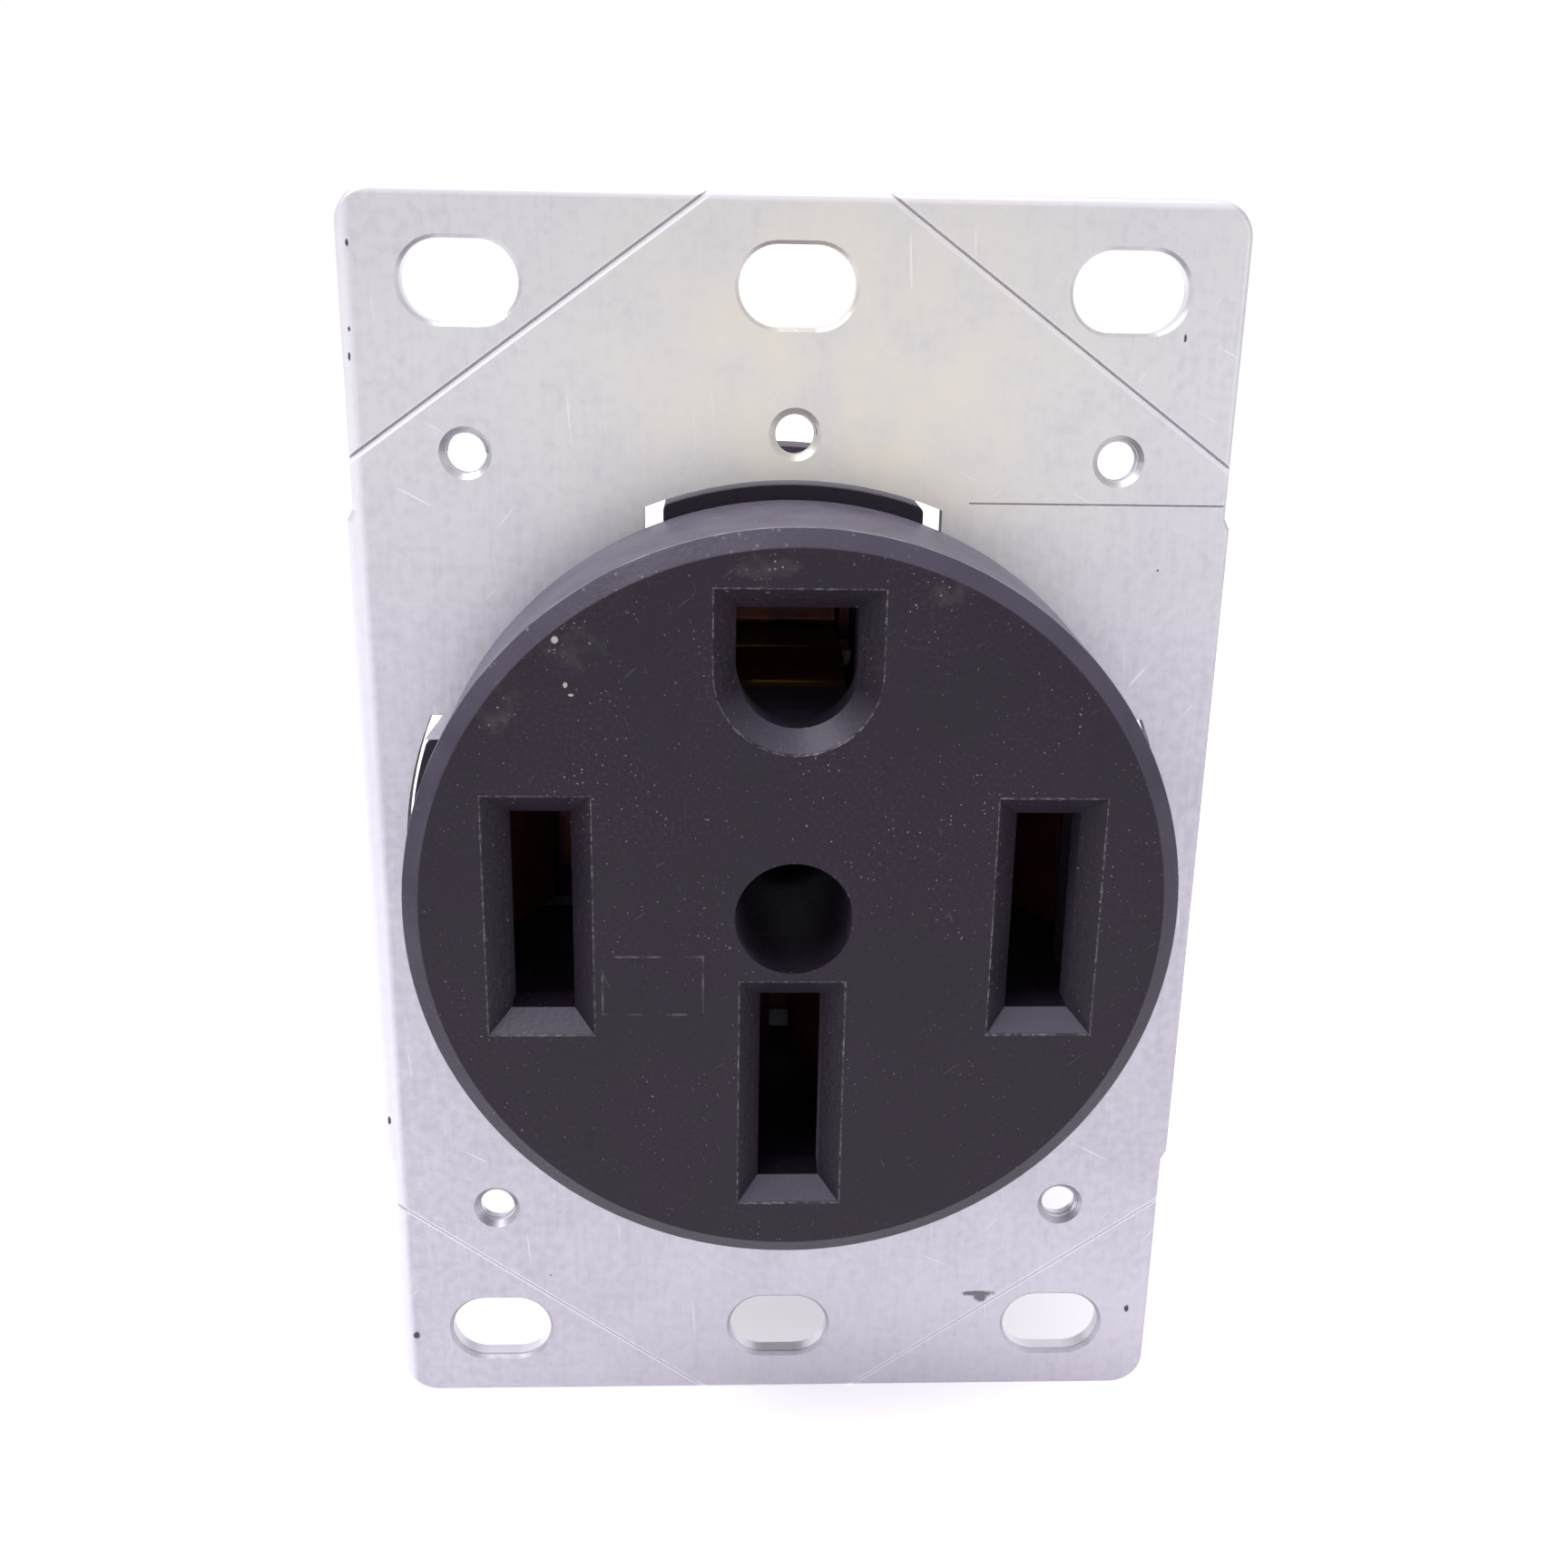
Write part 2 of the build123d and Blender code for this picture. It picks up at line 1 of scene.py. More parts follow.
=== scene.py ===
import bpy
import json
import math
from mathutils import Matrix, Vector


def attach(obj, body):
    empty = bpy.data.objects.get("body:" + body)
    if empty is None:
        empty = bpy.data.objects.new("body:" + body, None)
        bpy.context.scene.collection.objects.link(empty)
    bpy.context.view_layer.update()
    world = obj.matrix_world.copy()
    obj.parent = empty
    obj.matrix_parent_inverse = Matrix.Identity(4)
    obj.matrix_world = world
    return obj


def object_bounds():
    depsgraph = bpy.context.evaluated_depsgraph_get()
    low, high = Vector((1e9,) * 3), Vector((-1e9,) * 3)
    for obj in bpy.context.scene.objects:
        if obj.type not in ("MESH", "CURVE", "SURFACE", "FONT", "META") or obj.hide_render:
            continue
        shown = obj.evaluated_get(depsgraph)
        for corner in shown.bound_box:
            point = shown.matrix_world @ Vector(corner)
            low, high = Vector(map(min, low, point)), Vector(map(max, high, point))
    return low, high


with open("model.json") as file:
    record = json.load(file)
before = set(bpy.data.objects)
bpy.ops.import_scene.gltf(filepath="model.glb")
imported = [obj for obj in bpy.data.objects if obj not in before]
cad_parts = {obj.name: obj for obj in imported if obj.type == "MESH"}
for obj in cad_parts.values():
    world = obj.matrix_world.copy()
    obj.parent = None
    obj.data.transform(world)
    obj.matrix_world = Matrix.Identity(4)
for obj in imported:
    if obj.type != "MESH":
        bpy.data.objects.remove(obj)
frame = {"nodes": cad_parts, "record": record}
parts = frame["nodes"]
cad_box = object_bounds()


# Rear housing
# One deep thermoset moulding, almost black, with a dull skin from the mould. It carries the
# contacts and lugs in four pockets and shows its wire ports and screw holes behind the strap.

MOULD_COLOUR = (0.0066, 0.0030, 0.0088, 1)
MOULD_WORN = (0.0110, 0.0052, 0.0130, 1)
DUST_COLOUR = (0.30, 0.29, 0.27, 1)
HAZE_COLOUR = (0.029, 0.0175, 0.032, 1)
SHEEN_TINT = (0.82, 0.70, 1.0, 1)
GLOSS_TINT = (0.98, 0.91, 1.0, 1)
MOULD_SHINE = (0.38, 0.52)
PATCHES_PER_METRE = 90
DRIFTS_PER_METRE = 110
MIST_PER_METRE = 3400
GRAIN_PER_METRE = 2600
GRAIN_DEPTH = 0.00003
COARSE_DUST = (1500, 0.16, 0.55)
FINE_DUST = (3100, 0.20, 0.45)
DUST_TEAR = (0.0004, 0.0004, 0.0004)
DUST_AND_LIGHT_SIDE = (-0.6, 0.0, 0.8)
DUST_AND_LIGHT_RANGE = (-0.020, 0.015)
SHELTERED_AND_SHADED_SHARE = 0.4
HOUSING_DUST = 0.2


def add(tree, kind, links=None, **settings):
    """A shader or geometry node with its settings, its values and what feeds it."""
    made = tree.nodes.new(kind)
    for name, value in settings.items():
        setattr(made, name, value)
    for name, value in (links or {}).items():
        socket = made.inputs[name]
        if isinstance(value, bpy.types.NodeSocket):
            tree.links.new(value, socket)
        else:
            socket.default_value = value
    return made


def reckon(tree, operation, first, second=0.0, clamp=False):
    """Result of one sum on two values or sockets."""
    return add(tree, "ShaderNodeMath", {0: first, 1: second},
               operation=operation, use_clamp=clamp).outputs[0]


def times(tree, first, second):
    """Product of two values or sockets."""
    return reckon(tree, "MULTIPLY", first, second)


def most(tree, first, second):
    """The greater of two values or sockets."""
    return reckon(tree, "MAXIMUM", first, second)


def measure(tree, operation, first, second=(0, 0, 0)):
    """Number from one sum on vectors, such as a length, a distance or a dot product."""
    links = {0: first, 1: second}
    return add(tree, "ShaderNodeVectorMath", links, operation=operation).outputs["Value"]


def grade(tree, value, low, high, start=0.0, end=1.0):
    """Value carried from one range to another and kept inside it."""
    links = {"Value": value, "From Min": low, "From Max": high, "To Min": start, "To Max": end}
    return add(tree, "ShaderNodeMapRange", links).outputs["Result"]


def blend(tree, share, first, second):
    """Colour between two colours."""
    return add(tree, "ShaderNodeMix", {0: share, 6: first, 7: second}, data_type="RGBA").outputs[2]


def clouds(tree, place, per_metre, detail=3.0, stretch=(1, 1, 1)):
    """Soft noise, drawn out along an axis where stretch is below 1."""
    where = add(tree, "ShaderNodeMapping", {"Vector": place, "Scale": stretch}).outputs[0]
    links = {"Vector": where, "Scale": per_metre, "Detail": detail}
    return add(tree, "ShaderNodeTexNoise", links).outputs["Fac"]


def specks(tree, place, per_metre, size, crowd):
    """Scattered dots: size is their share of a cell, crowd the share of cells that have one."""
    cell = add(tree, "ShaderNodeTexVoronoi", {"Vector": place, "Scale": per_metre})
    chance = add(tree, "ShaderNodeSeparateColor", {0: cell.outputs["Color"]})
    kept = reckon(tree, "LESS_THAN", chance.outputs[0], crowd)
    radius = times(tree, chance.outputs[1], size)
    edge = reckon(tree, "SUBTRACT", radius, cell.outputs["Distance"])
    return times(tree, kept, grade(tree, edge, 0.0, size / 4))


def new_finish(name, metallic, roughness):
    """Empty finish with its shader and the object's own coordinates."""
    finish = bpy.data.materials.new(name)
    finish.use_nodes = True
    tree = finish.node_tree
    shader = tree.nodes["Principled BSDF"]
    shader.inputs["Metallic"].default_value = metallic
    shader.inputs["Roughness"].default_value = roughness
    place = tree.nodes.new("ShaderNodeTexCoord").outputs["Object"]
    return finish, tree, shader, place


def paint(tree, shader, colour):
    """Lays a colour on the whole finish."""
    tree.links.new(colour, shader.inputs["Base Color"])


def roughen(tree, shader, height, depth):
    """Relief of the surface, with its depth in metres."""
    bump = add(tree, "ShaderNodeBump", {"Height": height, "Distance": depth, "Strength": 1.0})
    tree.links.new(bump.outputs[0], shader.inputs["Normal"])


def dress(node, finish):
    """Gives every slot of a carried-over node one finish."""
    for spot in parts[node].material_slots:
        spot.material = finish


def moulded_base(name, dustiness):
    """Dull moulded skin with fine grain, haze and dust, heavier on the upper left partly as
    painted light, still to be painted.
    """
    finish, tree, shader, place = new_finish(name, 0.0, 0.45)
    shader.inputs["Specular IOR Level"].default_value = 0.31
    shader.inputs["Specular Tint"].default_value = GLOSS_TINT
    shader.inputs["Sheen Weight"].default_value = 0.13
    shader.inputs["Sheen Roughness"].default_value = 0.35
    shader.inputs["Sheen Tint"].default_value = SHEEN_TINT

    patches = clouds(tree, place, PATCHES_PER_METRE, 5)
    colour = blend(tree, grade(tree, patches, 0.35, 0.75), MOULD_COLOUR, MOULD_WORN)
    # Haze and dust heavier towards the top and left: partly dust lying on top, partly painted
    # light where the lamp on the upper left falls.
    toward_dust_and_light = measure(tree, "DOT_PRODUCT", place, DUST_AND_LIGHT_SIDE)
    dust_and_light = grade(tree, toward_dust_and_light, *DUST_AND_LIGHT_RANGE, SHELTERED_AND_SHADED_SHARE * dustiness, dustiness)
    drifts_and_light = grade(tree, clouds(tree, place, DRIFTS_PER_METRE, 4), 0.38, 0.60, 0.1, 1.0)
    drifts_and_light = times(tree, drifts_and_light, dust_and_light)
    mist = grade(tree, clouds(tree, place, MIST_PER_METRE, 5), 0.50, 0.70)
    colour = blend(tree, times(tree, mist, drifts_and_light), colour, HAZE_COLOUR)

    links = {"Vector": place, "Scale": GRAIN_PER_METRE}
    shaken = add(tree, "ShaderNodeTexNoise", links).outputs["Color"]
    links = {0: shaken, 1: DUST_TEAR, 2: place}
    torn = add(tree, "ShaderNodeVectorMath", links, operation="MULTIPLY_ADD").outputs[0]
    dust = most(tree, specks(tree, torn, *COARSE_DUST), specks(tree, torn, *FINE_DUST))
    colour = blend(tree, times(tree, dust, drifts_and_light), colour, DUST_COLOUR)

    roughen(tree, shader, clouds(tree, place, GRAIN_PER_METRE, 3), GRAIN_DEPTH)
    tree.links.new(grade(tree, patches, 0.3, 0.8, *MOULD_SHINE), shader.inputs["Roughness"])
    return finish, tree, shader, place, colour


housing_skin, tree, shader, place, colour = moulded_base("housing_skin", HOUSING_DUST)
paint(tree, shader, colour)
dress("rear_housing", housing_skin)


# Contacts and their springs
# Rolled brass strip, folded and flared at the lips and gone brown, with painted glints on its
# folds and sheared lips, strong only in the ground slot, where the brass is also lighter and
# warmer as painted light. Steel bands close the leaves on a blade, painted dark as shade in the
# line and neutral slots and pale as lit in the ground's.

POLES = ("line_x", "line_y", "neutral", "ground")
OLD_BRASS = (0.150, 0.040, 0.030, 1)
BROWN_BRASS = (0.080, 0.020, 0.018, 1)
# The ground slot's brass is a lighter, warmer copy of the same brass: painted light.
LIT_WARM_BRASS = (0.210, 0.066, 0.028, 1)
SHEARED_EDGE_HIGHLIGHT = (0.40, 0.24, 0.05, 1)
FOLD_GLINT = (1.0, 0.72, 0.08, 1)
# Spring steel painted dark as shade for the line and neutral slots, pale as lit for the ground
# slot.
SHADED_SPRING_STEEL = (0.060, 0.056, 0.070, 1)
SHADED_SPRING_MOTTLE = (0.030, 0.028, 0.040, 1)
LIT_SPRING_STEEL = (0.55, 0.53, 0.48, 1)
LIT_SPRING_MOTTLE = (0.35, 0.32, 0.28, 1)
STEEL_SHINE = 0.35
BROWNED_METAL = 0.4
ROLLED = (1, 0.06, 1)
ROLLED_DEPTH = 0.00002
DRAWN = (1, 0.08, 1)
DRAWN_DEPTH = 0.000015
FOLD_DEPTH = 0.0070
FOLD_LINE = (0.00034, 0.00016)
FOLD_FADE = (0.0022, -0.0022)
LIP_FRONT = 0.0040
LIP_FACING = (-0.70, -0.90)
LIP_HEIGHT = 0.01345
LIP_LINE = (0.00012, 0.00005)
LIP_START = (-0.0030, -0.0024)
LIP_FADE = (0.0032, -0.0005)


def split(tree, vector):
    """The three parts of a vector: across, into the depth, and up."""
    return add(tree, "ShaderNodeSeparateXYZ", {0: vector}).outputs


def apart(tree, value, middle):
    """How far a value lies from a middle, to either side."""
    return reckon(tree, "ABSOLUTE", reckon(tree, "SUBTRACT", value, middle))


def drawn_metal(name, colour, shade, shine):
    """Metal in clouds of two close shades with fine drawn marks, still to be painted."""
    finish, tree, shader, place = new_finish(name, 1.0, shine)
    mix = grade(tree, clouds(tree, place, 320, 4), 0.35, 0.70)
    roughen(tree, shader, clouds(tree, place, 2800, 2, DRAWN), DRAWN_DEPTH)
    return finish, tree, shader, place, blend(tree, mix, colour, shade)


def steel_finish(name, colour, shade, shine):
    """Plated steel, and spring steel painted dark as shade or pale as lit: drawn metal as it is.
    """
    finish, tree, shader, place, tone = drawn_metal(name, colour, shade, shine)
    paint(tree, shader, tone)
    return finish


def worn_brass(name, light, glint):
    """Brass gone brown in clouds, with painted glints on its fold and sheared lips, as strong as
    glint.
    """
    finish, tree, shader, place = new_finish(name, BROWNED_METAL, 0.42)
    colour = blend(tree, grade(tree, clouds(tree, place, 320, 4), 0.35, 0.70), light, BROWN_BRASS)
    x, depth, z = split(tree, place)
    facing = split(tree, place.node.outputs["Normal"])[1]
    in_lip = reckon(tree, "LESS_THAN", depth, LIP_FRONT)
    # The sheared lip faces get a painted highlight, scaled by glint.
    sheared_highlight = times(tree, grade(tree, facing, *LIP_FACING, 0.0, 0.4 * glint), in_lip)
    colour = blend(tree, sheared_highlight, colour, SHEARED_EDGE_HIGHLIGHT)

    # Painted glints: a line along the fold and one along the lower lip's inner edge.
    fold = grade(tree, apart(tree, depth, FOLD_DEPTH), *FOLD_LINE, 0.0, glint)
    fold = times(tree, fold, grade(tree, x, *FOLD_FADE, 0.10, 1.0))
    lip = times(tree, grade(tree, apart(tree, z, LIP_HEIGHT), *LIP_LINE), in_lip)
    lip = times(tree, lip, grade(tree, x, *LIP_FADE, 0.0, glint))
    lip = times(tree, lip, grade(tree, x, *LIP_START, 0.0, 0.65))
    bright = most(tree, fold, lip)
    paint(tree, shader, blend(tree, bright, colour, FOLD_GLINT))
    # Painted glints lose their metal, so they stay bright where no light reaches them.
    tree.links.new(grade(tree, bright, 0.0, 1.0, BROWNED_METAL, 0.0), shader.inputs["Metallic"])
    roughen(tree, shader, clouds(tree, place, 3200, 2, ROLLED), ROLLED_DEPTH)
    return finish


contact_brass = worn_brass("contact_brass", OLD_BRASS, 0.12)
ground_brass = worn_brass("ground_brass", LIT_WARM_BRASS, 1.0)
spring_steel = steel_finish("spring_steel", SHADED_SPRING_STEEL, SHADED_SPRING_MOTTLE, STEEL_SHINE)
pale_spring = steel_finish("pale_spring", LIT_SPRING_STEEL, LIT_SPRING_MOTTLE, STEEL_SHINE)
for pole in POLES:
    dress(f"{pole}_contact", ground_brass if pole == "ground" else contact_brass)
    dress(f"{pole}_spring", pale_spring if pole == "ground" else spring_steel)


# Terminal lugs, pressure plates, set screws and rivets
# Box lugs of extruded aluminium under dull tin, their tongues gone brown, zinc plated pressure
# plates, and set screws in the colours of the trade: brass for line, bright, and green for ground.

BRASS_COLOUR = (0.62, 0.38, 0.11, 1)
BRASS_TARNISH = (0.20, 0.085, 0.04, 1)
TIN_COLOUR = (0.72, 0.72, 0.75, 1)
TIN_SHADE = (0.52, 0.52, 0.56, 1)
TIN_SHINE = 0.42
PLATE_COLOUR = (0.66, 0.66, 0.70, 1)
PLATE_SHADE = (0.50, 0.49, 0.50, 1)
SILVER_COLOUR = (0.78, 0.78, 0.80, 1)
SILVER_SHADE = (0.60, 0.60, 0.62, 1)
GREEN_COLOUR = (0.04, 0.26, 0.09, 1)
GREEN_SHADE = (0.02, 0.14, 0.05, 1)
TONGUE_COLOUR = (0.022, 0.014, 0.014, 1)
TONGUE_REACH = 0.0188
TONGUE_BLEND = 0.0004


def brass_finish(name, shine):
    """Rolled brass with lengthwise rolling marks and tarnish in clouds."""
    finish, tree, shader, place = new_finish(name, 1.0, shine)
    tarnish = grade(tree, clouds(tree, place, 260, 4), 0.40, 0.72)
    paint(tree, shader, blend(tree, tarnish, BRASS_COLOUR, BRASS_TARNISH))
    roughen(tree, shader, clouds(tree, place, 3200, 2, ROLLED), ROLLED_DEPTH)
    return finish


tinned, tree, shader, place, colour = drawn_metal("tinned_lug", TIN_COLOUR, TIN_SHADE, TIN_SHINE)
flat = add(tree, "ShaderNodeVectorMath", {0: place, 1: (1, 0, 1)}, operation="MULTIPLY").outputs[0]
from_axis = measure(tree, "LENGTH", flat)
on_tongue = grade(tree, from_axis, TONGUE_REACH, TONGUE_REACH - TONGUE_BLEND)
paint(tree, shader, blend(tree, on_tongue, colour, TONGUE_COLOUR))

plated = steel_finish("plate_steel", PLATE_COLOUR, PLATE_SHADE, STEEL_SHINE)
for pole in POLES:
    dress(f"{pole}_lug", tinned)
    dress(f"{pole}_pressure_plate", plated)
dress("line_terminal_screws", brass_finish("screw_brass", 0.28))
dress("neutral_terminal_screw", steel_finish("screw_silver", SILVER_COLOUR, SILVER_SHADE, 0.22))
dress("ground_terminal_screw", steel_finish("screw_green", GREEN_COLOUR, GREEN_SHADE, 0.32))
dress("contact_rivets", contact_brass)


# Mounting strap and bonding strip
# Stamped steel with bright zinc, passivated with a faint yellow cast near the top, with press
# marks, nicks and dark spots from handling. Painted light makes it lighter at the top and lower
# left, with painted highlights on its left and top edges, cut walls and score lines. The bonding
# strip is brass.

ZINC_COLOUR = (0.485, 0.464, 0.512, 1)
ZINC_SHADE = (0.415, 0.397, 0.445, 1)
ZINC_LIT_TOP = (0.622, 0.620, 0.612, 1)
ZINC_YELLOW = (0.665, 0.640, 0.550, 1)
ZINC_LIT_FOOT = (0.570, 0.542, 0.600, 1)
ZINC_NICK = (0.07, 0.065, 0.08, 1)
ZINC_DEPTH = 0.00003
SPANGLE_SHARE = 0.24
MOTTLE_SHARE = 0.54
STREAK_SHARE = 0.22
TOP_RANGE = (0.005, 0.036)
FOOT_RANGE = (-0.026, -0.043)
FOOT_SIDE = (-0.022, -0.006)
YELLOW_MIDDLE = (0.003, 0.0, 0.034)
YELLOW_REACH = (0.024, 0.006)
ZINC_LINES = ((3600, 4, 0.03, 0.735), (3200, 63, 0.04, 0.745), (3400, -38, 0.05, 0.745))
LINE_SHARE = 0.35
LINE_FADE = 0.05
NICKS = (
    (-0.0312, -0.0222, 0.00015, 0.0004),
    (-0.0301, -0.0423, 0.0003, 0.0004),
    (0.0294, -0.0403, 0.00022, 0.0004),
    (0.0270, 0.0387, 0.00012, 0.0003),
    (-0.0303, 0.0440, 0.00012, 0.0003),
    (-0.0305, 0.0384, 0.0001, 0.0002),
    (-0.0306, 0.0366, 0.0001, 0.0003),
)
PEPPER = (420, 0.05, 0.14)
SMEARS = ((0.0167, -0.0387, 0.0015, 0.0003), (0.0169, -0.0390, 0.0006, 0.0006))
SMEAR_COLOUR = (0.16, 0.15, 0.17, 1)
HIGHLIGHT_AND_SCRATCH = (0.90, 0.89, 0.93, 1)
LEFT_EDGE_HIGHLIGHT = (-0.0301, -0.0306)
TOP_EDGE_HIGHLIGHT = (0.0471, 0.0476)
FRONT_SKIN = (0.00050, 0.00040)
CUT_FACING = (0.80, 0.50)
CUT_DEPTH = (0.00034, 0.00050)
CUT_LEFT = (-0.0308, -0.0300)
SCORE_FOOT = (0.0061, 0.0478)
SCORE_SLOPE = (0.586, 0.811)
SCORE_HALF = 0.00020
SCORE_TOP = (-0.01, 0.01)
BURR_HIGHLIGHT_WIDTH = 0.00024
BURR_HIGHLIGHT_SIDE = (-0.004, 0.004)


def scratches(tree, place, kinds):
    """Fine straight scratches on a front face, each kind with scale, turn, stretch and rarity."""
    found = None
    for per_metre, turn, stretch, rarity in kinds:
        links = {"Vector": place, "Rotation": (0, math.radians(turn), 0)}
        spin = add(tree, "ShaderNodeMapping", links).outputs[0]
        noise = clouds(tree, spin, per_metre, 1, (1, 1, stretch))
        line = grade(tree, noise, rarity, rarity + LINE_FADE)
        found = most(tree, found, line) if found else line
    return found


def marks(tree, place, places):
    """Ragged marks on a front face, each given by x, z and its half width and half height."""
    rag = clouds(tree, place, 2400, 4)
    found = None
    for x, z, wide, high in places:
        links = {0: place, 1: (1 / wide, 0, 1 / high), 2: (-x / wide, 0, -z / high)}
        near = add(tree, "ShaderNodeVectorMath", links, operation="MULTIPLY_ADD").outputs[0]
        away = measure(tree, "LENGTH", near)
        mark = grade(tree, reckon(tree, "ADD", away, rag), 1.55, 1.15)
        found = most(tree, found, mark) if found else mark
    return found


strap_zinc, tree, shader, place = new_finish("zinc_plate", 0.85, 0.42)
x, depth, z = split(tree, place)
in_front = grade(tree, depth, *FRONT_SKIN)
spangle = clouds(tree, place, 190, 5)
mottle = clouds(tree, place, 1250, 5)
streaks = clouds(tree, place, 2600, 3, (1, 1, 0.08))
tone = reckon(tree, "ADD", times(tree, spangle, SPANGLE_SHARE), times(tree, mottle, MOTTLE_SHARE))
tone = reckon(tree, "ADD", tone, times(tree, streaks, STREAK_SHARE))
colour = blend(tree, grade(tree, tone, 0.40, 0.60), ZINC_SHADE, ZINC_COLOUR)
# Painted light: the strap lighter towards the top, where the light from above falls.
lit_top = grade(tree, z, *TOP_RANGE, 0.0, 0.85)
lit_top = times(tree, lit_top, grade(tree, tone, 0.36, 0.52, 0.72, 1.0))
colour = blend(tree, lit_top, colour, ZINC_LIT_TOP)
# Painted light: lighter towards the bottom and left of the strap, lifting the shade there.
lit_foot = times(tree, grade(tree, z, *FOOT_RANGE, 0.0, 0.9), grade(tree, x, *FOOT_SIDE, 0.1, 1.0))
lit_foot = times(tree, lit_foot, grade(tree, tone, 0.36, 0.56, 0.6, 1.0))
colour = blend(tree, lit_foot, colour, ZINC_LIT_FOOT)
away = measure(tree, "DISTANCE", place, YELLOW_MIDDLE)
cast = times(tree, grade(tree, away, *YELLOW_REACH), grade(tree, spangle, 0.15, 0.60))
colour = blend(tree, cast, colour, ZINC_YELLOW)

bright = times(tree, scratches(tree, place, ZINC_LINES), LINE_SHARE)
# Painted highlights on the strap's left and top edges, where the light falls.
left_edge_highlight = grade(tree, x, *LEFT_EDGE_HIGHLIGHT, 0.0, 0.5)
bright = most(tree, bright, most(tree, left_edge_highlight, grade(tree, z, *TOP_EDGE_HIGHLIGHT)))

# Score lines: a painted highlight on the burr beside each upper groove, weaker on the right, and
# painted light in the grooves to lift their shading, most in the lower ones.
past_foot = reckon(tree, "SUBTRACT", reckon(tree, "ABSOLUTE", x), SCORE_FOOT[0])
above_foot = reckon(tree, "SUBTRACT", reckon(tree, "ABSOLUTE", z), SCORE_FOOT[1])
across = times(tree, past_foot, SCORE_SLOPE[0])
from_score = reckon(tree, "ADD", across, times(tree, above_foot, SCORE_SLOPE[1]))
below = times(tree, from_score, times(tree, reckon(tree, "SIGN", z), -1.0))
burr_highlight = apart(tree, below, SCORE_HALF + BURR_HIGHLIGHT_WIDTH / 2)
burr_highlight = grade(tree, burr_highlight, BURR_HIGHLIGHT_WIDTH / 2, BURR_HIGHLIGHT_WIDTH / 4)
burr_highlight = times(tree, burr_highlight, grade(tree, x, *BURR_HIGHLIGHT_SIDE, 1.0, 0.25))
groove_light = reckon(tree, "ABSOLUTE", from_score)
groove_light = grade(tree, groove_light, SCORE_HALF, SCORE_HALF * 0.6, 0.0, 0.5)
upper_score_light = times(tree, most(tree, burr_highlight, groove_light), grade(tree, z, *SCORE_TOP, 0.0, 0.9))
lower_score_light = times(tree, groove_light, grade(tree, z, *SCORE_TOP, 1.55, 0.0))
bright = times(tree, most(tree, bright, most(tree, upper_score_light, lower_score_light)), in_front)

# Painted highlight on the side walls of cuts and holes, away from the front face, weaker at the
# outer left.
facing = split(tree, place.node.outputs["Normal"])[1]
cut_wall_highlight = grade(tree, reckon(tree, "ABSOLUTE", facing), *CUT_FACING)
cut_wall_highlight = times(tree, cut_wall_highlight, grade(tree, depth, *CUT_DEPTH, 0.0, 0.85))
cut_wall_highlight = times(tree, cut_wall_highlight, grade(tree, x, *CUT_LEFT, 0.3, 1.0))
colour = blend(tree, most(tree, bright, cut_wall_highlight), colour, HIGHLIGHT_AND_SCRATCH)

dark = most(tree, marks(tree, place, NICKS), specks(tree, place, *PEPPER))
colour = blend(tree, times(tree, dark, in_front), colour, ZINC_NICK)
smear = times(tree, marks(tree, place, SMEARS), in_front)
paint(tree, shader, blend(tree, smear, colour, SMEAR_COLOUR))
roughen(tree, shader, tone, ZINC_DEPTH)
dress("mounting_strap", strap_zinc)
dress("bonding_strip", contact_brass)


# Threads of the tapped holes
# The six wall plate screw holes are tapped 6-32: a fine ridge runs round the wall of each hole
# in the same zinc, wound along a helix through the thickness of the strap.

THREAD_PITCH = 0.00079
THREAD_DEPTH = 0.00009
THREAD_TURNS = 1.5
THREAD_START = 0.00030
THREAD_STEPS = 48
RIDGE_SIDES = 3
MM_PER_METRE = 1000

mounts = {mount["name"]: mount for mount in frame["record"]["mounts"]}
plate = mounts["plate_screws"]["dims"]
middle_plate = mounts["plate_centre_screws"]["dims"]
plate_x = plate["spacing_x_mm"] / MM_PER_METRE / 2
plate_z = plate["spacing_y_mm"] / MM_PER_METRE / 2
middle_z = middle_plate["spacing_y_mm"] / MM_PER_METRE / 2
hole_radius = plate["hole_r_mm"] / MM_PER_METRE
tapped = [(x, THREAD_START, z) for x in (-plate_x, plate_x) for z in (-plate_z, plate_z)]
tapped += [(0, THREAD_START, middle_z), (0, THREAD_START, -middle_z)]

thread_tree = bpy.data.node_groups.new("thread", "GeometryNodeTree")
sockets = thread_tree.interface
sockets.new_socket("Places", in_out="INPUT", socket_type="NodeSocketGeometry")
sockets.new_socket("Threads", in_out="OUTPUT", socket_type="NodeSocketGeometry")
inputs = {}
for name in ("Radius", "Height", "Turns", "Depth"):
    inputs[name] = sockets.new_socket(name, in_out="INPUT", socket_type="NodeSocketFloat")
given = add(thread_tree, "NodeGroupInput").outputs
helix = add(thread_tree, "GeometryNodeCurveSpiral", {
    "Resolution": THREAD_STEPS, "Rotations": given["Turns"], "Start Radius": given["Radius"],
    "End Radius": given["Radius"], "Height": given["Height"]})
ridge = add(thread_tree, "GeometryNodeCurvePrimitiveCircle", {
    "Resolution": RIDGE_SIDES, "Radius": given["Depth"]})
wound = add(thread_tree, "GeometryNodeCurveToMesh", {
    "Curve": helix.outputs[0], "Profile Curve": ridge.outputs["Curve"], "Fill Caps": True})
laid = add(thread_tree, "GeometryNodeTransform", {
    "Geometry": wound.outputs[0], "Rotation": (-math.pi / 2, 0, 0)})
placed = add(thread_tree, "GeometryNodeInstanceOnPoints", {
    "Points": given["Places"], "Instance": laid.outputs[0]})
real = add(thread_tree, "GeometryNodeRealizeInstances", {"Geometry": placed.outputs[0]})
